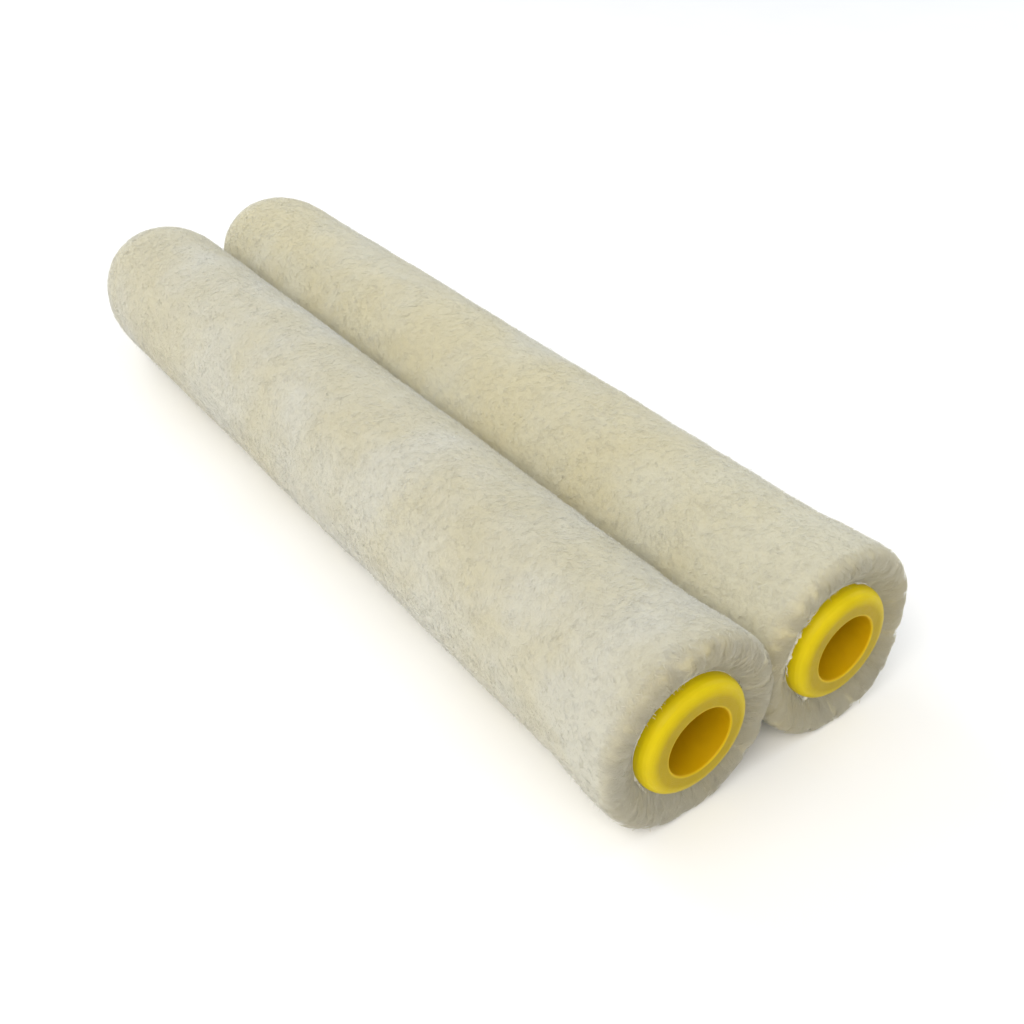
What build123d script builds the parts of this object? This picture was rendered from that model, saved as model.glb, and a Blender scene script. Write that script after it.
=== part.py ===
"""Two refill sleeves for a small paint roller, lying side by side with their capped ends together.

Each sleeve is a plush cover on a plastic core tube. The far end is closed and rounded over a
former. The near end has a moulded cap with a bore, which the wire arm of a roller frame goes
through, and a bush inside the core carries the tip of that arm.

Millimetres. +X runs along the sleeves towards their caps, +Z is up, and the origin is at the
bottom centre of the pair.
"""
import os

from build123d import *

# Sleeve
sleeve_length = 250.4  # from the face of the cap to the rounded tip
pile_diameter = 37.3  # over the pile, where two sleeves press it flat
pile_length = 7.35  # from the woven backing to the tips of the pile
backing_thickness = 0.8
core_outer_diameter = 21.0
core_inner_diameter = 19.0

# The pair
axis_spacing = 37.6
rear_setback = 1.2  # the rear sleeve lies this far behind the front one

# Cap
flange_diameter = 24.0
flange_thickness = 3.6
flange_rim = 0.8  # straight part of the flange's edge, next to the core
flange_face_diameter = 18.8  # flat ring round the bore; the flange curves away outside it
bore_diameter = 14.0
bore_edge_round = 0.35
spigot_length = 14.0
spigot_diameter = 18.4
spigot_lead_in = 0.8
crush_ribs = 8
crush_rib_width = 1.2
crush_rib_length = 11.5

# Open end of the pile, around the cap
pile_end_depth = 1.2  # the pile stops this far short of the cap's face
pile_end_inner_diameter = 32.4  # the end of the pile dips from here down to the flange's foot
pile_end_round = 2.2
glue_bead_width = 0.9
glue_bead_height = 0.8
glue_bead_hollow = 0.4  # height and width of the bead at the middle of its hollow face, of the whole

# Closed end
dome_length = 26.5  # of the pile, from its full diameter to the tip
former_wall = 1.6
former_spigot_length = 12.0

# Bush for the tip of the wire arm
bush_middle = -74.0  # along the sleeve, from the sleeve's middle
bush_hub_length = 16.0
bush_hub_diameter = 10.5
bush_bore_diameter = 6.5
bush_lead_in = 1.2
bush_rim_length = 10.0
bush_rim_thickness = 1.5
bush_web_thickness = 2.4

# Radii
pile_radius = pile_diameter / 2
core_radius = core_outer_diameter / 2
core_bore_radius = core_inner_diameter / 2
backing_radius = core_radius + backing_thickness
flange_radius = flange_diameter / 2
bore_radius = bore_diameter / 2
spigot_radius = spigot_diameter / 2

# Stations along a sleeve, from its middle
cap_face = sleeve_length / 2
flange_back = cap_face - flange_thickness
spigot_end = flange_back - spigot_length
pile_end = cap_face - pile_end_depth
pile_tip = -sleeve_length / 2
tube_end = pile_tip + dome_length

# Lengths of the nested domes on the closed end
backing_dome = dome_length - pile_length
former_dome = backing_dome - backing_thickness

# Where each sleeve's middle lies, along X and across Y
sleeves = {
    "front": (rear_setback / 2, -axis_spacing / 2),
    "rear": (-rear_setback / 2, axis_spacing / 2),
}


def half_plane(middle):
    """The plane of a sleeve's half section: local x runs along its axis, local y is the radius."""
    origin = (middle[0], middle[1], pile_radius)
    return Plane(origin=origin, x_dir=(1, 0, 0), z_dir=(0, -1, 0))


def cross_plane(middle, station):
    """The plane square to a sleeve's axis at a station along it."""
    origin = (middle[0] + station, middle[1], pile_radius)
    return Plane(origin=origin, x_dir=(0, 1, 0), z_dir=(1, 0, 0))


def own_axis(middle):
    """The axis of a sleeve, pointing out of its cap."""
    return Axis((middle[0], middle[1], pile_radius), (1, 0, 0))


def round_corner(station, radius, size):
    """Rounds the corner of the current half section that lies at a station and radius."""
    corner = vertices().sort_by_distance((station, radius))[0]
    fillet(corner, size)


def end_cap(middle):
    """Moulded cap: a rounded flange outside the core and a ribbed spigot inside it."""
    face_radius = flange_face_diameter / 2
    rim_end = flange_back + flange_rim
    with BuildPart() as cap:
        with BuildSketch(half_plane(middle)):
            with BuildLine():
                Polyline(
                    (spigot_end, bore_radius),
                    (spigot_end, spigot_radius - spigot_lead_in),
                    (spigot_end + spigot_lead_in, spigot_radius),
                    (flange_back, spigot_radius),
                    (flange_back, flange_radius),
                    (rim_end, flange_radius),
                )
                EllipticalCenterArc(
                    (rim_end, face_radius),
                    cap_face - rim_end,
                    flange_radius - face_radius,
                    arc_size=90,
                )
                Polyline(
                    (cap_face, face_radius),
                    (cap_face, bore_radius),
                    (spigot_end, bore_radius),
                )
            make_face()
            round_corner(cap_face, bore_radius, bore_edge_round)
        revolve(axis=own_axis(middle))
        with BuildSketch(cross_plane(middle, flange_back - crush_rib_length)):
            with PolarLocations(0, crush_ribs):
                Rectangle(
                    core_bore_radius,
                    crush_rib_width,
                    align=(Align.MIN, Align.CENTER),
                )
            Circle(core_bore_radius, mode=Mode.INTERSECT)
            Circle((bore_radius + spigot_radius) / 2, mode=Mode.SUBTRACT)
        extrude(amount=crush_rib_length)
    return cap


def core_tube(middle):
    """Hard tube that the cover is wound on."""
    with BuildPart() as tube:
        with BuildSketch(cross_plane(middle, tube_end)):
            Circle(core_radius)
            Circle(core_bore_radius, mode=Mode.SUBTRACT)
        extrude(amount=flange_back - tube_end)
    return tube


def cover_backing(middle):
    """Woven backing of the cover, closed over the former like a sock."""
    with BuildPart() as backing:
        with BuildSketch(half_plane(middle)):
            with BuildLine():
                Polyline(
                    (tube_end, core_radius),
                    (flange_back, core_radius),
                    (flange_back, backing_radius),
                    (tube_end, backing_radius),
                )
                EllipticalCenterArc((tube_end, 0), backing_dome, backing_radius, 90, arc_size=90)
                Line((tube_end - backing_dome, 0), (tube_end - former_dome, 0))
                EllipticalCenterArc((tube_end, 0), former_dome, core_radius, 90, arc_size=90)
            make_face()
        revolve(axis=own_axis(middle))
    return backing


def cover_pile(middle):
    """Plush pile: sheared round the cap, rounded over the closed end."""
    with BuildPart() as pile:
        with BuildSketch(half_plane(middle)):
            with BuildLine():
                Polyline(
                    (tube_end, backing_radius),
                    (flange_back, backing_radius),
                    (flange_back, flange_radius + glue_bead_width),
                    (pile_end, pile_end_inner_diameter / 2),
                    (pile_end, pile_radius),
                    (tube_end, pile_radius),
                )
                EllipticalCenterArc((tube_end, 0), dome_length, pile_radius, 90, arc_size=90)
                Line((pile_tip, 0), (tube_end - backing_dome, 0))
                EllipticalCenterArc((tube_end, 0), backing_dome, backing_radius, 90, arc_size=90)
            make_face()
            round_corner(pile_end, pile_radius, pile_end_round)
        revolve(axis=own_axis(middle))
    return pile


def end_former(middle):
    """Hollow dome plugged into the core, which gives the closed end its shape."""
    spigot_inner_radius = core_bore_radius - former_wall
    inner_dome = former_dome - former_wall
    with BuildPart() as former:
        with BuildSketch(half_plane(middle)):
            with BuildLine():
                Polyline(
                    (tube_end, spigot_inner_radius),
                    (tube_end + former_spigot_length, spigot_inner_radius),
                    (tube_end + former_spigot_length, core_bore_radius),
                    (tube_end, core_bore_radius),
                    (tube_end, core_radius),
                )
                EllipticalCenterArc((tube_end, 0), former_dome, core_radius, 90, arc_size=90)
                Line((tube_end - former_dome, 0), (tube_end - inner_dome, 0))
                EllipticalCenterArc((tube_end, 0), inner_dome, spigot_inner_radius, 90, arc_size=90)
            make_face()
        revolve(axis=own_axis(middle))
    return former


def arm_bush(middle):
    """Hub, web and rim inside the core, which the tip of the wire arm turns in."""
    hub_start = bush_middle - bush_hub_length / 2
    hub_end = bush_middle + bush_hub_length / 2
    rim_start = bush_middle - bush_rim_length / 2
    rim_end = bush_middle + bush_rim_length / 2
    web_start = bush_middle - bush_web_thickness / 2
    web_end = bush_middle + bush_web_thickness / 2
    hub_radius = bush_hub_diameter / 2
    bush_bore_radius = bush_bore_diameter / 2
    rim_inner_radius = core_bore_radius - bush_rim_thickness
    with BuildPart() as bush:
        with BuildSketch(half_plane(middle)):
            with BuildLine():
                Polyline(
                    (hub_start, bush_bore_radius),
                    (hub_start, hub_radius),
                    (web_start, hub_radius),
                    (web_start, rim_inner_radius),
                    (rim_start, rim_inner_radius),
                    (rim_start, core_bore_radius),
                    (rim_end, core_bore_radius),
                    (rim_end, rim_inner_radius),
                    (web_end, rim_inner_radius),
                    (web_end, hub_radius),
                    (hub_end, hub_radius),
                    (hub_end, bush_bore_radius + bush_lead_in),
                    (hub_end - bush_lead_in, bush_bore_radius),
                    close=True,
                )
            make_face()
        revolve(axis=own_axis(middle))
    return bush


def glue_bead(middle):
    """Bead of hot glue in the corner between the cap's flange and the pile."""
    hollow_station = flange_back + glue_bead_hollow * glue_bead_height
    hollow_radius = flange_radius + glue_bead_hollow * glue_bead_width
    with BuildPart() as bead:
        with BuildSketch(half_plane(middle)):
            with BuildLine():
                Polyline(
                    (flange_back + glue_bead_height, flange_radius),
                    (flange_back, flange_radius),
                    (flange_back, flange_radius + glue_bead_width),
                )
                ThreePointArc(
                    (flange_back, flange_radius + glue_bead_width),
                    (hollow_station, hollow_radius),
                    (flange_back + glue_bead_height, flange_radius),
                )
            make_face()
        revolve(axis=own_axis(middle))
    return bead


makers = {
    "cap": end_cap,
    "core_tube": core_tube,
    "cover_backing": cover_backing,
    "cover_pile": cover_pile,
    "end_former": end_former,
    "arm_bush": arm_bush,
    "glue_bead": glue_bead,
}

os.makedirs("parts", exist_ok=True)
for side, middle in sleeves.items():
    for piece, make in makers.items():
        name = f"{side}_{piece}"
        built = make(middle)
        built.part.label = name
        export_step(built.part, f"parts/{name}.step")
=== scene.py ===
"""Looks of two plush roller sleeves lying side by side: a pile of real fibres, moulded yellow caps and glue.

Metres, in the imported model's frame: +X runs along the sleeves towards their caps, +Z is up.
"""
import math
from types import SimpleNamespace

import bpy
import numpy as np
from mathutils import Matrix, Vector


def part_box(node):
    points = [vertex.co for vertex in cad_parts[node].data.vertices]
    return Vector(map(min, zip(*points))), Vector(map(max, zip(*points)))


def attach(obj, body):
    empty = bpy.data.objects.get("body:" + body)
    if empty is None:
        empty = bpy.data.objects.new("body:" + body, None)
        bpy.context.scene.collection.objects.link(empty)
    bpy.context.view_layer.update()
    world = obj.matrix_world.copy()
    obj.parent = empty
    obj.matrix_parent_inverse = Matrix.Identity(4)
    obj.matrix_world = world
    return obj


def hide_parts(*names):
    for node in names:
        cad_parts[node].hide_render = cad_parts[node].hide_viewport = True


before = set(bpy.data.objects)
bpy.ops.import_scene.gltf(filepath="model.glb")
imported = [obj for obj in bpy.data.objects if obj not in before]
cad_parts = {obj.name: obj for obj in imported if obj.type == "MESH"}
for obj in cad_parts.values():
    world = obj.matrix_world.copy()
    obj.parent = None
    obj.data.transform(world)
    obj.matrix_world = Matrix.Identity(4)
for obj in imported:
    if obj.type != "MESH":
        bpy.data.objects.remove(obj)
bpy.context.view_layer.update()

MM = 0.001
SEED = 11

# Camera, at the photographed viewing angle
CAMERA_AT = Vector((0.2218, -0.1245, 0.1658))
CAMERA_TARGET = Vector((0.0518, -0.0048, 0.01865))
CAMERA_ROLL = math.radians(-1.11)
CAMERA_LENS = 41.3

# Outline of the pile, in millimetres
PILE_RADIUS = 19.0  # over the tips of the loose pile
DOME_LENGTH = 26.5
FLARE = 1.0  # the pile swells by this much towards the cap, where it was cut
FLARE_LENGTH = 20.0
SHOULDER = 4.4  # rounding of the pile at the capped end
SHOULDER_FULLNESS = 0.72  # 1 rounds it as an ellipse, less makes it squarer
END_DEPTH = 1.2  # the pile stops this far short of the cap's face
END_RING = 16.2  # radius where the pile's end face stands out furthest
HUG_DEPTH = 3.3  # the pile dips to this far behind the cap's face where it meets the flange
SLUMP = {"front": 0.4, "rear": 1.7}  # the end leans forward by this much at its lowest
SLUMP_STARTS = 9.0  # from here to the end of the pile it leans more and more
SLUMP_FULL = 1.5  # and from here on it leans in full
FLOOR_GAP = 0.05
FLOOR_GIVE = 0.30  # the pile that would reach below the floor is packed into about this much

# Unevenness of the pile, in millimetres
TUFT_SIZE = 1.5
TUFT_HEIGHT = 0.08
RIPPLE_SIZE = 7.0
RIPPLE_HEIGHT = 0.06
SWELL_SIZE = 31.0
SWELL_HEIGHT = 0.12

# Undercoat
UNDERCOAT_DEPTH = 0.30  # the dense pile lies this far under the tips
UNDERCOAT_STEP = 0.58  # from one row of its mesh to the next
UNDERCOAT_COLUMNS = 200
UNDERCOAT_END_SINK = 0.10  # it lies this much deeper, and smooth, round the cap
UNDERCOAT_TIP = 0.02  # radius of its last ring, at the rounded tip

# Fibres, in millimetres and radians
FIBRES_PER_SQUARE_MM = 7.2
FIBRE_BANDS = 5
FIBRE_LENGTH = 1.5
FIBRE_WIDTH = 0.07  # half the width of a fibre's foot
FIBRE_DEPTH = 1.3  # from a fibre's flat side to its keel, of half its width
FIBRE_LEAN = 1.10  # from upright
NAP_SIZE = 34.0  # the nap's heading wanders from crest to crest in this distance
NAP_WANDER = 1.6
NAP_SCATTER = 0.9  # from fibre to fibre
CLUMPING = 0.10  # a tip is drawn this share of the way to its tuft's middle
KNOTS = (0.0, 0.33, 0.67, 1.0)  # where a long fibre bends, along its length

# Fibres round the cap
END_FIBRES = 12000
END_FIBRE_REACH = (1.6, 4.2)
END_FIBRE_ZONE = 6.0  # their feet are on this stretch of the outline, out from the flange
END_LOCKS = 46  # locks that the fibres round the cap gather into
LOCK_PITCH = 2 * math.pi / END_LOCKS
LOCK_SWING = 0.07
LOCK_LIFT = 0.30

# Stray hairs
STRAY_HAIRS = 2600
STRAY_REACH = (1.0, 2.4)
STRAY_RISE = (0.15, 0.95)
STRAY_ROOT = 0.4  # depth of a hair's foot

# Glue, in millimetres and degrees
GLUE_RINGS = 360
GLUE_SECTIONS = 14
GLUE_THICKNESS = 0.45  # half the thickness of the bead, and what a full blob adds to it
GLUE_FLATNESS = 0.8  # along the sleeve, of the thickness across it
GLUE_DEPTH = 3.9  # from the cap's face
BLOB_ARC = 3.2
BLOB_OUT = 0.85  # a full blob stands this far out from the bead
BLOB_FORWARD = 0.95  # and this far forward
STRINGS_PER_BLOB = 9
STRING_CLIMB = (0.2, 2.6)
STRING_WIDTH = (0.05, 0.13)
STRING_DEPTH = 3.2  # from the cap's face


def smoothstep(low, high, value):
    t = np.clip((value - low) / (high - low), 0, 1)
    return t * t * (3 - 2 * t)


def unit(vectors):
    return vectors / np.maximum(np.linalg.norm(vectors, axis=-1, keepdims=True), 1e-12)


def waves(points, size, seed, count=9):
    """Smooth random values of about -1 to 1 that repeat no pattern, size millimetres from crest to crest."""
    rng = np.random.default_rng(seed)
    directions = unit(rng.normal(size=(count, 3))) * 2 * np.pi / size
    directions *= rng.uniform(0.7, 1.4, (count, 1))
    phases = rng.uniform(0, 2 * np.pi, count)
    return np.cos(points @ directions.T + phases).sum(axis=1) / math.sqrt(count / 2) * 0.6


def nearest_tuft(points, size, seed):
    """The centre of the tuft that each point belongs to, and its distance in tuft sizes."""
    rng = np.random.default_rng(seed)
    jitter = rng.uniform(0.1, 0.9, (4096, 3))
    cell = np.floor(points / size).astype(np.int64)
    best = np.full(len(points), np.inf)
    centre = np.zeros_like(points)
    for step in np.ndindex(3, 3, 3):
        at = cell + np.array(step) - 1
        key = (at[:, 0] * 73856093 ^ at[:, 1] * 19349663 ^ at[:, 2] * 83492791) & 4095
        middle = (at + jitter[key]) * size
        distance = np.linalg.norm(middle - points, axis=1)
        nearer = distance < best
        best[nearer] = distance[nearer]
        centre[nearer] = middle[nearer]
    return centre, best / size


def sleeve_facts(side):
    """Where a sleeve's axis, cap and pile are, in millimetres, read from its CAD nodes."""
    cap_low, cap_high = (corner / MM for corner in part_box(f"{side}_cap"))
    pile_low, pile_high = (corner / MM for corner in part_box(f"{side}_cover_pile"))
    return SimpleNamespace(
        side=side,
        body=f"{side}_sleeve",
        y=(cap_low.y + cap_high.y) / 2,
        z=(cap_low.z + cap_high.z) / 2,
        face=cap_high.x,
        flange_radius=(cap_high.z - cap_low.z) / 2,
        tip=pile_low.x,
        end=pile_high.x,
    )


def meridian(sleeve, inset=0.0, step=0.25):
    """The pile's outline from the rounded tip to the cap: stations, radii and outward normals."""
    turn = np.linspace(0, np.pi / 2, 80)
    dome_end = sleeve.tip + DOME_LENGTH
    end = sleeve.face - END_DEPTH
    shoulder_start = end - SHOULDER
    dome_x = dome_end - (DOME_LENGTH - inset) * np.cos(turn)
    dome_r = (PILE_RADIUS - inset) * np.sin(turn)
    side_x = np.linspace(dome_end, shoulder_start, 200)[1:]
    side_r = PILE_RADIUS - inset + FLARE * smoothstep(end - FLARE_LENGTH, shoulder_start, side_x)
    turn = np.linspace(0, np.pi / 2, 40)[1:]
    shoulder_x = shoulder_start + (SHOULDER - inset) * np.sin(turn) ** SHOULDER_FULLNESS
    shoulder_r = END_RING + (side_r[-1] - END_RING) * np.abs(np.cos(turn)) ** SHOULDER_FULLNESS
    dip = np.linspace(0, 1, 40)[1:]
    hug_x = end - inset - (HUG_DEPTH - END_DEPTH) * smoothstep(0, 1, dip)
    hug_r = END_RING - (END_RING - sleeve.flange_radius - 0.05) * dip
    x = np.concatenate([dome_x, side_x, shoulder_x, hug_x])
    r = np.concatenate([dome_r, side_r, shoulder_r, hug_r])
    length = np.append(0, np.cumsum(np.hypot(np.diff(x), np.diff(r))))
    even = np.linspace(0, length[-1], int(length[-1] / step) + 1)
    x, r = np.interp(even, length, x), np.interp(even, length, r)
    along = unit(np.stack([np.gradient(x), np.gradient(r)], axis=1))
    return SimpleNamespace(s=even, x=x, r=r, nx=-along[:, 1], nr=along[:, 0])


def around(sleeve, x, r, angle):
    """Points at a station, a radius and an angle about the sleeve's axis."""
    return np.stack([x, sleeve.y + r * np.cos(angle), sleeve.z + r * np.sin(angle)], axis=-1)


def spread(nx, nr, angle):
    """Directions with an axial and a radial share, at an angle about the axis."""
    return np.stack([nx, nr * np.cos(angle), nr * np.sin(angle)], axis=-1)


def radial_direction(angle):
    return np.stack([np.zeros_like(angle), np.cos(angle), np.sin(angle)], axis=-1)


def ring_direction(angle):
    return np.stack([np.zeros_like(angle), -np.sin(angle), np.cos(angle)], axis=-1)


def at_length(line, s):
    """The outline after this much of its length: station, radius and outward normal."""
    x, r, nx, nr = (np.interp(s, line.s, row) for row in (line.x, line.r, line.nx, line.nr))
    return SimpleNamespace(x=x, r=r, nx=nx, nr=nr)


def seeded(sleeve, offset):
    """Random numbers of a sleeve's own for one use, the same each run."""
    return np.random.default_rng(SEED + offset + (0 if sleeve.side == "front" else 100))


def unevenness(points, tuft_distance):
    """How far the pile's surface stands over its outline: tufts, ripples and slow swells."""
    tufts = TUFT_HEIGHT * (0.5 - tuft_distance)
    ripples = RIPPLE_HEIGHT * waves(points, RIPPLE_SIZE, SEED + 4)
    swells = SWELL_HEIGHT * waves(points, SWELL_SIZE, SEED + 7)
    return tufts + ripples + swells


def new_mesh(name, points, faces, sides, uvs):
    """A smooth mesh from points in millimetres, with the sleeve's own unwrapping."""
    mesh = bpy.data.meshes.new(name)
    mesh.vertices.add(len(points))
    mesh.vertices.foreach_set("co", (points * MM).astype(np.float32).ravel())
    mesh.loops.add(faces.size)
    mesh.loops.foreach_set("vertex_index", faces.astype(np.int32).ravel())
    mesh.polygons.add(len(faces))
    mesh.polygons.foreach_set("loop_start", np.arange(0, faces.size, sides, dtype=np.int32))
    mesh.polygons.foreach_set("use_smooth", np.ones(len(faces), dtype=bool))
    mesh.uv_layers.new(name="OFBake").data.foreach_set("uv", uvs.astype(np.float32).ravel())
    mesh.update()
    mesh.validate()
    piece = bpy.data.objects.new(name, mesh)
    bpy.context.scene.collection.objects.link(piece)
    return piece


def pressed(points):
    """The same points with the pile's underside packed down on the floor, every fibre still in its order."""
    packed = points.copy()
    packed[..., 2] = FLOOR_GAP + FLOOR_GIVE * np.logaddexp(0, (points[..., 2] - FLOOR_GAP) / FLOOR_GIVE)
    return packed


def slumped(sleeve, points):
    """The same points where the pile's open end leans forward, below the cap."""
    y, z = points[..., 1] - sleeve.y, points[..., 2] - sleeve.z
    r = np.maximum(np.hypot(y, z), 0.001)
    low = smoothstep(0.1, 0.9, -z / r)
    near_end = smoothstep(sleeve.end - SLUMP_STARTS, sleeve.end - SLUMP_FULL, points[..., 0])
    outside_cap = smoothstep(sleeve.flange_radius + 1, sleeve.flange_radius + 6, r)
    leaning = points.copy()
    leaning[..., 0] += SLUMP[sleeve.side] * low * near_end * outside_cap
    return leaning


def ring_mesh(rows, columns, closed=False):
    """Quads and unwrapping of rows of points that each make a ring.

    With closed, the last row joins the first.
    """
    row, column = np.meshgrid(np.arange(rows if closed else rows - 1), np.arange(columns), indexing="ij")
    down, right = (row + 1) % rows, (column + 1) % columns
    corners = [row * columns + column, row * columns + right,
               down * columns + right, down * columns + column]
    faces = np.stack(corners, axis=-1).reshape(-1, 4)
    u = np.stack([row, row, row + 1, row + 1], axis=-1).reshape(-1, 4) / len(row)
    v = np.stack([column, column + 1, column + 1, column], axis=-1).reshape(-1, 4) / columns
    return faces, np.stack([u, v], axis=-1)


def undercoat(sleeve, material):
    """The dense lower pile: one closed surface that swells a little under every tuft."""
    line = meridian(sleeve, inset=UNDERCOAT_DEPTH, step=UNDERCOAT_STEP)
    line.r[0] = UNDERCOAT_TIP
    rows, columns = len(line.x), UNDERCOAT_COLUMNS
    x = np.repeat(line.x, columns)
    r = np.repeat(line.r, columns)
    turn = np.tile(np.arange(columns) * 2 * np.pi / columns, rows)
    points = around(sleeve, x, r, turn)
    normals = spread(np.repeat(line.nx, columns), np.repeat(line.nr, columns), turn)
    _, distance = nearest_tuft(points, TUFT_SIZE, SEED)
    height = unevenness(points, distance)
    height = height - (height + UNDERCOAT_END_SINK) * smoothstep(sleeve.end - 6, sleeve.end - 2, x)
    points = pressed(slumped(sleeve, points + normals * height[:, None]))

    faces, uvs = ring_mesh(rows, columns)
    piece = new_mesh(f"{sleeve.side}_pile_undercoat", points, faces, 4, uvs)
    piece.data.materials.append(material)
    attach(piece, sleeve.body)
    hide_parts(f"{sleeve.side}_cover_pile")


def strands(name, sleeve, paths, outward, shading, widths, uv, material):
    """Tapered three-sided fibres along paths of two or more points, flat side outward, each one closed.

    The flat side takes the pile's own shading, and the two sides under it face sideways, so that
    neither is black where it is seen against the light.
    """
    count, knots = paths.shape[:2]
    axis = np.gradient(paths, axis=1) if knots > 2 else np.repeat(np.diff(paths, axis=1), 2, axis=1)
    axis = unit(axis[:, :-1])
    side = unit(np.cross(axis, outward[:, None, :]))
    under = np.cross(axis, side)
    taper = widths[:, None, None] * (1 - np.arange(knots - 1) / (knots - 1))[None, :, None]
    rings = np.stack([paths[:, :-1] + side * taper,
                      paths[:, :-1] - side * taper,
                      paths[:, :-1] + under * taper * FIBRE_DEPTH], axis=2)
    ring_points = 3 * (knots - 1)
    points = np.concatenate([rings.reshape(count, ring_points, 3), paths[:, -1:]], axis=1)
    points = pressed(slumped(sleeve, points))

    walls = ((1, 0), (0, 2), (2, 1))
    pattern, wall = [[0, 1, 2]], [3]
    for foot in range(0, ring_points - 3, 3):
        for number, (here, there) in enumerate(walls):
            pattern.append([foot + here, foot + there, foot + there + 3])
            pattern.append([foot + here, foot + there + 3, foot + here + 3])
            wall.extend([number, number])
    foot = ring_points - 3
    for number, (here, there) in enumerate(walls):
        pattern.append([foot + here, foot + there, ring_points])
        wall.append(number)
    pattern = np.array(pattern)
    faces = (np.arange(count)[:, None, None] * (ring_points + 1) + pattern).reshape(-1, 3)

    left, right = unit(side[:, 0] + 0.5 * shading), unit(0.5 * shading - side[:, 0])
    facing = np.stack([shading, left, right, -axis[:, 0]], axis=1)
    normals = np.repeat(facing[:, wall], 3, axis=1).reshape(-1, 3)

    ring_turn = np.arange(ring_points + 1) * 2.1
    spot = 0.003 * np.stack([np.cos(ring_turn), np.sin(ring_turn)], axis=1)
    uvs = uv[:, None, None, :] + spot[pattern][None]
    piece = new_mesh(name, points.reshape(-1, 3), faces, 3, np.clip(uvs, 0, 1))
    piece.data.normals_split_custom_set(normals.astype(np.float32))
    piece.data.materials.append(material)
    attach(piece, sleeve.body)


def scatter(sleeve, count, rng):
    """Random places, even in area, on the pile: where they are, and which way is out and along."""
    line = meridian(sleeve)
    area = np.append(0, np.cumsum(2 * np.pi * (line.r[1:] + line.r[:-1]) / 2 * np.diff(line.s)))
    wanted = (np.arange(count) + rng.uniform(0, 1, count)) / count
    s = np.interp(wanted * area[-1], area, line.s)
    angle = rng.uniform(0, 2 * np.pi, count)
    here = at_length(line, s)
    return SimpleNamespace(
        area=area[-1],
        x=here.x,
        r=here.r,
        at=around(sleeve, here.x, here.r, angle),
        out=unit(spread(here.nx, here.nr, angle)),
        along=unit(spread(here.nr, -here.nx, angle)),
        ring=ring_direction(angle),
        radial=radial_direction(angle),
        uv=np.stack([s / line.s[-1], angle / (2 * np.pi)], axis=-1),
    )


def combed(sleeve, place):
    """How far each place is under the sway of the cap, round which the fibres all stream outward."""
    near_end = smoothstep(sleeve.end - 7, sleeve.end - 1.5, place.x)
    return near_end * smoothstep(PILE_RADIUS + 0.6, END_RING + 1.2, place.r)


def fibres(sleeve, material):
    """Fibres that lie all over the pile in a soft, wandering nap, in bands along the sleeve."""
    rng = seeded(sleeve, 0)
    count = int(scatter(sleeve, 2, rng).area * FIBRES_PER_SQUARE_MM)
    place = scatter(sleeve, count, rng)
    heading = NAP_WANDER * waves(place.at, NAP_SIZE, SEED + 2) + rng.normal(0, NAP_SCATTER, count)
    nap = np.cos(heading)[:, None] * place.along + np.sin(heading)[:, None] * place.ring
    comb = combed(sleeve, place)[:, None]
    nap = unit(nap * (1 - comb) - place.along * comb + rng.normal(0, 0.12, (count, 3)))
    lean = FIBRE_LEAN + rng.normal(0, 0.10, count)
    direction = np.cos(lean)[:, None] * place.out + np.sin(lean)[:, None] * nap

    length = FIBRE_LENGTH * rng.uniform(0.8, 1.15, count) * (1 + 0.5 * comb[:, 0])
    centre, distance = nearest_tuft(place.at, TUFT_SIZE, SEED)
    loft = unevenness(place.at, distance) + rng.normal(0, 0.05, count)
    tips = place.at + place.out * loft[:, None] + CLUMPING * (centre - place.at)
    roots = tips - direction * length[:, None]
    shading = place.out + 0.4 * comb * place.radial + 0.08 * nap
    shading = unit(shading + rng.normal(0, 0.035, (count, 3)))
    widths = FIBRE_WIDTH * rng.uniform(0.7, 1.25, count) * (1 - 0.45 * comb[:, 0])

    bands = np.linspace(0, count, FIBRE_BANDS + 1).astype(int)
    for band, (first, last) in enumerate(zip(bands[:-1], bands[1:]), start=1):
        pick = slice(first, last)
        strands(f"{sleeve.side}_pile_fibres_{band}", sleeve, np.stack([roots[pick], tips[pick]], axis=1),
                place.out[pick], shading[pick], widths[pick], place.uv[pick], material)


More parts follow.
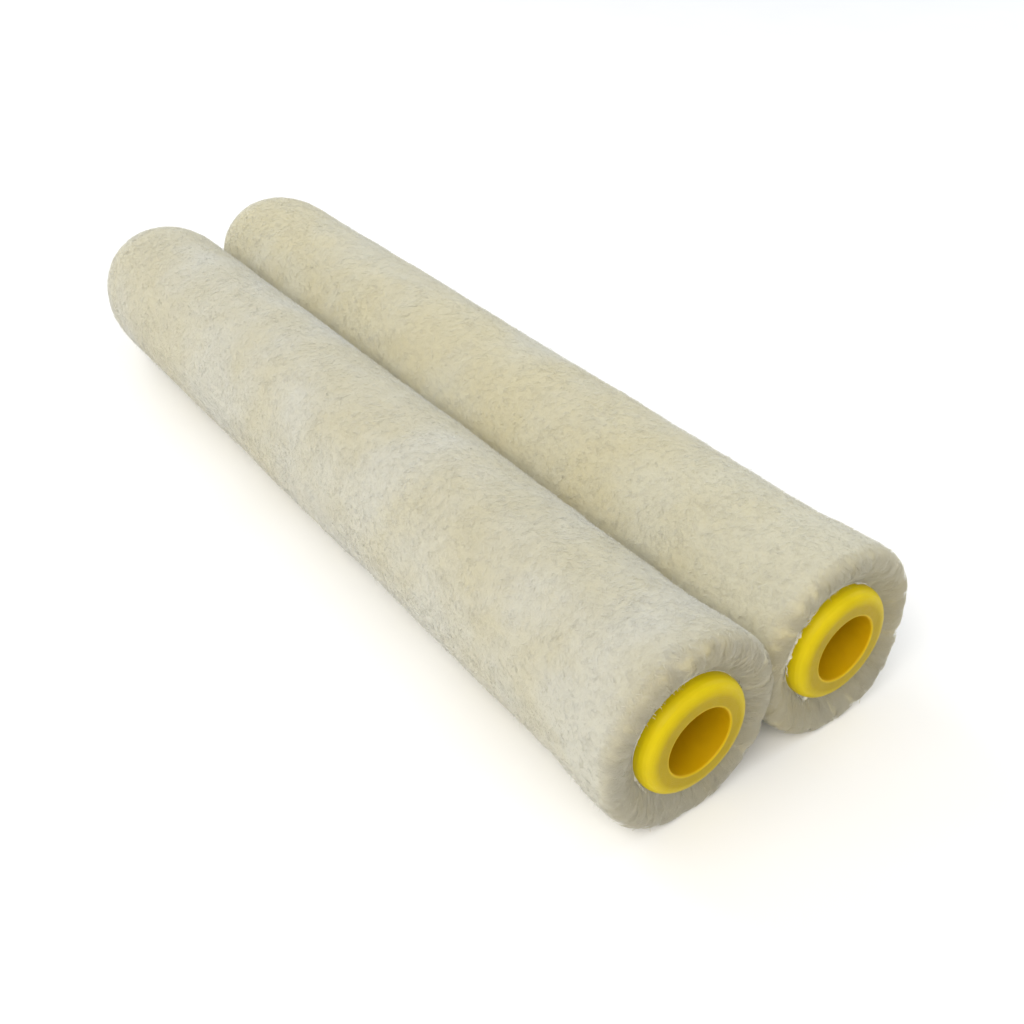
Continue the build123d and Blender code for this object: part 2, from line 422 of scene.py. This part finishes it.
def end_fibres(sleeve, material):
    """Longer fibres that stream out in locks from under the cap's flange and over the shoulder."""
    rng = seeded(sleeve, 50)
    line = meridian(sleeve)
    count = END_FIBRES
    lock = rng.integers(0, END_LOCKS, count)
    lock_angle = (np.arange(END_LOCKS) + rng.uniform(-0.4, 0.4, END_LOCKS)) * LOCK_PITCH
    lock_swing = rng.normal(0, LOCK_SWING, END_LOCKS)
    lock_lift = rng.uniform(0.0, LOCK_LIFT, END_LOCKS)
    reach = rng.uniform(*END_FIBRE_REACH, count)
    foot = line.s[-1] - 0.1 - END_FIBRE_ZONE * rng.uniform(0, 1, count) ** 1.1
    angle = lock_angle[lock] + rng.normal(0, 0.325 * LOCK_PITCH, count)
    off_middle = angle - lock_angle[lock]
    swing = lock_swing[lock] - 0.5 * off_middle + rng.normal(0, 0.03, count)
    foot_r = np.interp(foot, line.s, line.r)
    away = smoothstep(sleeve.flange_radius + 1.0, sleeve.flange_radius + 3.5, foot_r)
    lift = (lock_lift[lock] + rng.uniform(0.0, 0.08, count)) * away
    knots = []
    for part in KNOTS:
        here = at_length(line, foot - part * reach)
        height = -0.25 * (1 - part) + lift * math.sin(part * 0.8 * math.pi)
        x, r = here.x + here.nx * height, here.r + here.nr * height
        knots.append(around(sleeve, x, r, angle + swing * part))
    halfway = at_length(line, foot - 0.5 * reach)
    out = unit(spread(halfway.nx, halfway.nr, angle))
    flank = (4.0 / LOCK_PITCH * off_middle)[:, None]
    shading = out + 0.35 * radial_direction(angle) + 0.25 * flank * ring_direction(angle)
    shading = unit(shading + rng.normal(0, 0.06, (count, 3)))
    uv = np.stack([np.clip(foot / line.s[-1], 0, 1), (angle / (2 * np.pi)) % 1], axis=-1)
    widths = 0.7 * FIBRE_WIDTH * rng.uniform(0.6, 1.2, count)
    strands(f"{sleeve.side}_pile_end_fibres", sleeve, np.stack(knots, axis=1), out, shading, widths,
            uv, material)


def stray_hairs(sleeve, material):
    """Thin hairs that stand a little clear of the nap."""
    rng = seeded(sleeve, 60)
    count = STRAY_HAIRS
    place = scatter(sleeve, count, rng)
    heading = rng.uniform(0, 2 * np.pi, count)
    nap = np.cos(heading)[:, None] * place.along + np.sin(heading)[:, None] * place.ring
    curl = unit(rng.normal(size=(count, 3)))
    reach = rng.uniform(*STRAY_REACH, count)[:, None]
    rise = rng.uniform(*STRAY_RISE, count)[:, None]
    knots = []
    for part in KNOTS:
        height = (rise + STRAY_ROOT) * math.sin(part * math.pi / 2) - STRAY_ROOT
        bend = curl * 0.3 * part * part
        knots.append(place.at + place.out * height + nap * reach * (part - 0.5) + bend)
    shading = unit(place.out + rng.normal(0, 0.15, (count, 3)))
    widths = 0.45 * FIBRE_WIDTH * rng.uniform(0.7, 1.2, count)
    strands(f"{sleeve.side}_pile_stray_hairs", sleeve, np.stack(knots, axis=1), place.out, shading,
            widths, place.uv, material)


def glue(sleeve, material, blobs):
    """Bead of set glue round the flange's foot, with a lump for each blob, an angle and a size."""
    rng = seeded(sleeve, 70)
    turn = np.arange(GLUE_RINGS) * 2 * np.pi / GLUE_RINGS
    bend = np.arange(GLUE_SECTIONS) * 2 * np.pi / GLUE_SECTIONS
    lump = np.zeros(GLUE_RINGS)
    for angle, size in blobs:
        apart = (turn - math.radians(angle) + np.pi) % (2 * np.pi) - np.pi
        lump = np.maximum(lump, size * np.exp(-(apart / math.radians(BLOB_ARC)) ** 2))
    unsteady = 0.05 * np.sin(3 * turn + 1.0) + 0.05 * np.sin(7 * turn + 2.2)
    swell = GLUE_THICKNESS + unsteady + GLUE_THICKNESS * lump
    middle_r = sleeve.flange_radius - 0.25 + BLOB_OUT * lump
    middle_x = sleeve.face - GLUE_DEPTH + 0.08 * np.sin(5 * turn) + BLOB_FORWARD * lump
    x = middle_x[:, None] + swell[:, None] * GLUE_FLATNESS * np.cos(bend)
    r = middle_r[:, None] + swell[:, None] * np.sin(bend)
    points = around(sleeve, x, r, turn[:, None]).reshape(-1, 3)
    points = points + rng.normal(0, 0.03, points.shape)

    faces, uvs = ring_mesh(GLUE_RINGS, GLUE_SECTIONS, closed=True)
    piece = new_mesh(f"{sleeve.side}_glue", points, faces, 4, uvs)
    piece.data.materials.append(material)
    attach(piece, sleeve.body)
    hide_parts(f"{sleeve.side}_glue_bead")


def glue_strings(sleeve, material, blobs):
    """Thin strings that the glue gun drew from every blob, matted into the pile by the flange."""
    rng = seeded(sleeve, 80)
    angles = np.repeat([math.radians(angle) for angle, _ in blobs], STRINGS_PER_BLOB)
    sizes = np.repeat([size for _, size in blobs], STRINGS_PER_BLOB)
    count = len(angles)
    angles = angles + rng.normal(0, 0.09, count)
    turn = rng.normal(0, 0.12, count)
    climb = rng.uniform(*STRING_CLIMB, count) * sizes
    knots = []
    for part in (0.0, 0.25, 0.5, 0.75, 1.0):
        r = sleeve.flange_radius + 0.25 + climb * part
        arch = 0.45 * climb * part + 0.35 * math.sin(part * math.pi)
        x = sleeve.face - STRING_DEPTH + arch + rng.normal(0, 0.12, count)
        knots.append(around(sleeve, x, r, angles + turn * part + rng.normal(0, 0.02, count)))
    out = unit(spread(np.full(count, 0.8), np.full(count, 0.6), angles))
    uv = np.stack([climb / climb.max(), (angles / (2 * np.pi)) % 1], axis=-1)
    widths = rng.uniform(*STRING_WIDTH, count)
    strands(f"{sleeve.side}_glue_strings", sleeve, np.stack(knots, axis=1), out, out, widths,
            uv, material)


# Materials

class Shader:
    """A Principled material and short ways to put nodes before it."""

    def __init__(self, name, roughness=0.5, **values):
        self.material = bpy.data.materials.new(name)
        self.material.use_nodes = True
        self.tree = self.material.node_tree
        self.surface = self.tree.nodes["Principled BSDF"]
        self.surface.inputs["Roughness"].default_value = roughness
        for socket, value in values.items():
            self.surface.inputs[socket.replace("_", " ")].default_value = value
        self.place = self.tree.nodes.new("ShaderNodeTexCoord").outputs["Object"]

    def node(self, kind, **inputs):
        made = self.tree.nodes.new(kind)
        for name, value in inputs.items():
            self.feed(made.inputs[name.replace("_", " ")], value)
        return made

    def feed(self, socket, value):
        if isinstance(value, bpy.types.NodeSocket):
            self.tree.links.new(value, socket)
        else:
            socket.default_value = value

    def maths(self, operation, *values):
        made = self.tree.nodes.new("ShaderNodeMath")
        made.operation = operation
        for socket, value in zip(made.inputs, values):
            self.feed(socket, value)
        return made.outputs["Value"]

    def vector(self, operation, *values):
        made = self.tree.nodes.new("ShaderNodeVectorMath")
        made.operation = operation
        for socket, value in zip(made.inputs, values):
            self.feed(socket, value)
        return made

    def noise(self, size, detail=3.0, roughness=0.5):
        """Noise whose lumps are about size millimetres."""
        made = self.node("ShaderNodeTexNoise", Vector=self.place, Scale=1 / (size * MM),
                         Detail=detail, Roughness=roughness)
        return made.outputs["Fac"]

    def spread(self, value, low, high):
        made = self.node("ShaderNodeMapRange", Value=value)
        made.inputs["From Min"].default_value = 0.3
        made.inputs["From Max"].default_value = 0.7
        self.feed(made.inputs["To Min"], low)
        self.feed(made.inputs["To Max"], high)
        return made.outputs["Result"]

    def colours(self, value, *stops):
        ramp = self.node("ShaderNodeValToRGB", Fac=value)
        elements = ramp.color_ramp.elements
        for _ in range(len(stops) - 2):
            elements.new(0.5)
        for element, (position, colour) in zip(elements, stops):
            element.position = position
            element.color = (*colour, 1)
        return ramp.outputs["Color"]

    def mix(self, factor, first, second, how="MIX"):
        made = self.tree.nodes.new("ShaderNodeMix")
        made.data_type = "RGBA"
        made.blend_type = how
        self.feed(made.inputs[0], factor)
        self.feed(made.inputs[6], first)
        self.feed(made.inputs[7], second)
        return made.outputs[2]

    def bump(self, height, depth, strength=1.0):
        """Relief of depth millimetres."""
        made = self.node("ShaderNodeBump", Height=height, Strength=strength, Distance=depth * MM)
        self.tree.links.new(made.outputs["Normal"], self.surface.inputs["Normal"])

    def finish(self, colour, roughness=None):
        self.feed(self.surface.inputs["Base Color"], colour)
        if roughness is not None:
            self.feed(self.surface.inputs["Roughness"], roughness)
        return self.material


def plush(name, sleeve, white, cream, bumpy):
    """Undyed pile: whiter and creamier patches, a faint change from fibre to fibre, and painted warm shade,
    yellower and darker, at the cut end round the cap.
    """
    made = Shader(name, roughness=0.95, Sheen_Weight=0.15, Sheen_Roughness=0.7, Specular_IOR_Level=0.1,
                  Subsurface_Weight=0.5, Subsurface_Scale=0.001)
    made.surface.inputs["Subsurface Radius"].default_value = (1.0, 0.9, 0.7)
    patches = made.colours(made.noise(24, 3.0), (0.40, cream), (0.62, white))
    grain = made.colours(made.noise(0.6, 3.0, 0.6), (0.30, (0.955, 0.95, 0.935)), (0.60, (1.0, 1.0, 1.0)))
    colour = made.mix(1.0, patches, grain, "MULTIPLY")
    # Painted shade: towards the cut end round the cap the pile is tinted yellower and darker.
    station = made.node("ShaderNodeSeparateXYZ", Vector=made.place).outputs["X"]
    end_shade_ramp = made.node("ShaderNodeMapRange", Value=station)
    end_shade_ramp.inputs["From Min"].default_value = (sleeve.face - 4.5) * MM
    end_shade_ramp.inputs["From Max"].default_value = (sleeve.face - 1.5) * MM
    painted_end_shade = made.colours(end_shade_ramp.outputs["Result"], (0.0, (1.0, 1.0, 1.0)), (1.0, (1.0, 0.955, 0.82)))
    colour = made.mix(1.0, colour, painted_end_shade, "MULTIPLY")
    if bumpy:
        made.bump(made.noise(0.45, 4.0, 0.65), 0.12, 0.7)
        return made.finish(colour, made.spread(made.noise(3.0), 0.88, 1.0))
    return made.finish(colour)


def cap_plastic(sleeve):
    """Yellow moulding: satin, faintly mottled, with painted shade on its turned face, painted shade and warm
    interreflection in the bore, and a painted highlight at the bore's edge.
    """
    made = Shader(f"{sleeve.side}_cap_yellow", roughness=0.42, Subsurface_Weight=0.2, Subsurface_Scale=0.002,
                  Specular_IOR_Level=0.15, IOR=1.49)
    made.surface.inputs["Subsurface Radius"].default_value = (1.0, 0.55, 0.05)
    mottle = made.colours(made.noise(5.0, 4.0), (0.35, (0.62, 0.485, 0.002)), (0.65, (0.66, 0.52, 0.003)))
    from_axis = made.vector("SUBTRACT", made.place, (0.0, sleeve.y * MM, sleeve.z * MM))
    across = made.vector("MULTIPLY", from_axis.outputs["Vector"], (0.0, 1.0, 1.0))
    distance = made.vector("LENGTH", across.outputs["Vector"]).outputs["Value"]
    radius = made.maths("DIVIDE", distance, sleeve.flange_radius * MM)
    # Painted light and shade by distance from the axis: the bore is darkened and turned more orange (painted
    # shade and warm interreflection), a thin ring at the bore's edge is left lighter (painted highlight), the
    # turned face is darkened (painted shade), and the rim keeps its full colour.
    bore_wall, bore_edge = (0.575, (0.88, 0.62, 0.6)), (0.60, (0.88, 0.80, 0.8))
    face_inner, face_outer = (0.63, (0.58, 0.53, 0.4)), (0.76, (0.60, 0.55, 0.4))
    rim = (0.94, (1.0, 1.0, 1.0))
    shade = made.colours(radius, bore_wall, bore_edge, face_inner, face_outer, rim)
    tool_marks = made.maths("SINE", made.maths("MULTIPLY", radius, 220.0))
    made.bump(made.maths("ADD", tool_marks, made.noise(0.25, 3.0)), 0.012, 0.6)
    return made.finish(made.mix(1.0, mottle, shade, "MULTIPLY"), made.spread(made.noise(1.2, 4.0), 0.36, 0.5))


def core_plastic():
    """Natural polypropylene, with the mould's haze."""
    made = Shader("core_natural", roughness=0.5, Subsurface_Weight=0.15, Subsurface_Scale=0.002)
    colour = made.colours(made.noise(6.0), (0.35, (0.66, 0.64, 0.57)), (0.65, (0.74, 0.72, 0.66)))
    made.bump(made.noise(0.4), 0.03, 0.5)
    return made.finish(colour, made.spread(made.noise(2.0), 0.42, 0.6))


def backing_cloth():
    """Plain weave, its threads half a millimetre apart."""
    made = Shader("backing_weave", roughness=0.9)
    across = made.node("ShaderNodeTexWave", Vector=made.place, Scale=640.0, Distortion=0.6)
    along = made.node("ShaderNodeTexWave", Vector=made.place, Scale=640.0, Distortion=0.6)
    along.bands_direction = "Y"
    weave = made.mix(0.5, across.outputs["Color"], along.outputs["Color"])
    made.bump(weave, 0.12, 0.8)
    colour = made.mix(weave, (0.50, 0.46, 0.36, 1), (0.66, 0.62, 0.52, 1))
    return made.finish(colour, made.spread(made.noise(1.0), 0.82, 0.96))


def set_glue():
    """Hot glue, set clear to milky, glossy where it hasn't picked up fibre."""
    made = Shader("hot_glue", roughness=0.2, Subsurface_Weight=0.3, Subsurface_Scale=0.001, Coat_Weight=0.8)
    made.surface.inputs["Subsurface Radius"].default_value = (1.0, 0.95, 0.85)
    colour = made.colours(made.noise(1.4), (0.35, (0.80, 0.76, 0.64)), (0.65, (0.92, 0.89, 0.80)))
    made.bump(made.noise(0.5), 0.15, 0.6)
    return made.finish(colour, made.spread(made.noise(0.8), 0.08, 0.4))


def floor_paper():
    made = Shader("floor_paper", roughness=0.8, Specular_IOR_Level=0.1)
    colour = made.colours(made.noise(40.0), (0.3, (0.94, 0.94, 0.94)), (0.7, (0.96, 0.96, 0.96)))
    return made.finish(colour)


# Stage

def aim(thing, place, target, roll=0.0):
    """Stands a camera or light at a place, looking at a target, turned about its line of sight."""
    forward = (target - place).normalized()
    right = forward.cross(Vector((0, 0, 1))).normalized()
    up = right.cross(forward)
    turned_right = math.cos(roll) * right + math.sin(roll) * up
    turned_up = math.cos(roll) * up - math.sin(roll) * right
    matrix = thing.matrix_world.copy()
    for row in range(3):
        matrix[row][0] = turned_right[row]
        matrix[row][1] = turned_up[row]
        matrix[row][2] = -forward[row]
        matrix[row][3] = place[row]
    thing.matrix_world = matrix


def add_camera():
    camera = bpy.data.objects.new("camera", bpy.data.cameras.new("camera"))
    bpy.context.scene.collection.objects.link(camera)
    camera.data.lens = CAMERA_LENS
    camera.data.clip_start = 0.01
    camera.data.clip_end = 20.0
    aim(camera, CAMERA_AT, CAMERA_TARGET, CAMERA_ROLL)
    bpy.context.scene.camera = camera


def soft_light(name, place, size, watts, colour):
    """A square softbox that looks at the middle of the pair."""
    data = bpy.data.lights.new(name, "AREA")
    data.size = size
    data.energy = watts
    data.color = colour
    light = bpy.data.objects.new(name, data)
    bpy.context.scene.collection.objects.link(light)
    aim(light, Vector(place), Vector((0.03, 0.0, 0.02)))


def add_floor():
    mesh = bpy.data.meshes.new("floor")
    reach = 3.0
    corners = [(-reach, -reach, 0), (reach, -reach, 0), (reach, reach, 0), (-reach, reach, 0)]
    mesh.from_pydata(corners, [], [(0, 1, 2, 3)])
    floor = bpy.data.objects.new("floor", mesh)
    bpy.context.scene.collection.objects.link(floor)
    floor.data.materials.append(floor_paper())


def add_world():
    world = bpy.data.worlds.new("soft_room")
    bpy.context.scene.world = world
    world.use_nodes = True
    background = world.node_tree.nodes["Background"]
    background.inputs["Color"].default_value = (1.0, 1.0, 1.0, 1)
    background.inputs["Strength"].default_value = 0.5


add_camera()
add_world()
add_floor()
soft_light("overhead", (0.03, 0.0, 1.0), 0.6, 33.0, (1.0, 1.0, 1.0))
soft_light("front_left", (-0.15, -0.65, 0.75), 0.6, 1.4, (1.0, 0.96, 0.88))
soft_light("camera_side", (0.42, -0.62, 0.75), 0.6, 5.7, (1.0, 0.96, 0.88))
soft_light("left", (-0.85, -0.15, 0.55), 0.6, 4.0, (0.94, 0.97, 1.0))
soft_light("window", (0.1, 0.85, 0.5), 0.6, 2.6, (0.78, 0.87, 1.0))
soft_light("right", (0.9, 0.1, 0.45), 0.6, 1.4, (1.0, 0.96, 0.88))
bpy.context.scene.view_settings.view_transform = "Standard"

# Pieces

plush_colours = {
    "front": {"white": (0.543, 0.531, 0.446), "cream": (0.524, 0.493, 0.360)},
    "rear": {"white": (0.554, 0.532, 0.408), "cream": (0.550, 0.509, 0.346)},
}
glue_blobs = {  # angle about the sleeve in degrees, and size from 0 to 1
    "front": ((20, 0.2), (205, 0.25), (300, 0.3)),
    "rear": ((66, 0.2), (137, 0.4), (148, 0.7), (154, 0.5), (169, 0.75), (177, 0.4),
             (235, 0.5), (243, 0.8), (318, 0.3)),
}
natural = core_plastic()
weave = backing_cloth()
hot_glue = set_glue()
node_finish = {
    "core_tube": natural,
    "cover_backing": weave,
    "end_former": natural,
    "arm_bush": natural,
}

for side in ("front", "rear"):
    sleeve = sleeve_facts(side)
    undercoat(sleeve, plush(f"{side}_plush_undercoat", sleeve, bumpy=True, **plush_colours[side]))
    fibre = plush(f"{side}_plush_fibre", sleeve, bumpy=False, **plush_colours[side])
    fibres(sleeve, fibre)
    end_fibres(sleeve, fibre)
    stray_hairs(sleeve, fibre)
    glue(sleeve, hot_glue, glue_blobs[side])
    glue_strings(sleeve, hot_glue, glue_blobs[side])
    for node, finish in (node_finish | {"cap": cap_plastic(sleeve)}).items():
        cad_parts[f"{side}_{node}"].data.materials.clear()
        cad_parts[f"{side}_{node}"].data.materials.append(finish)
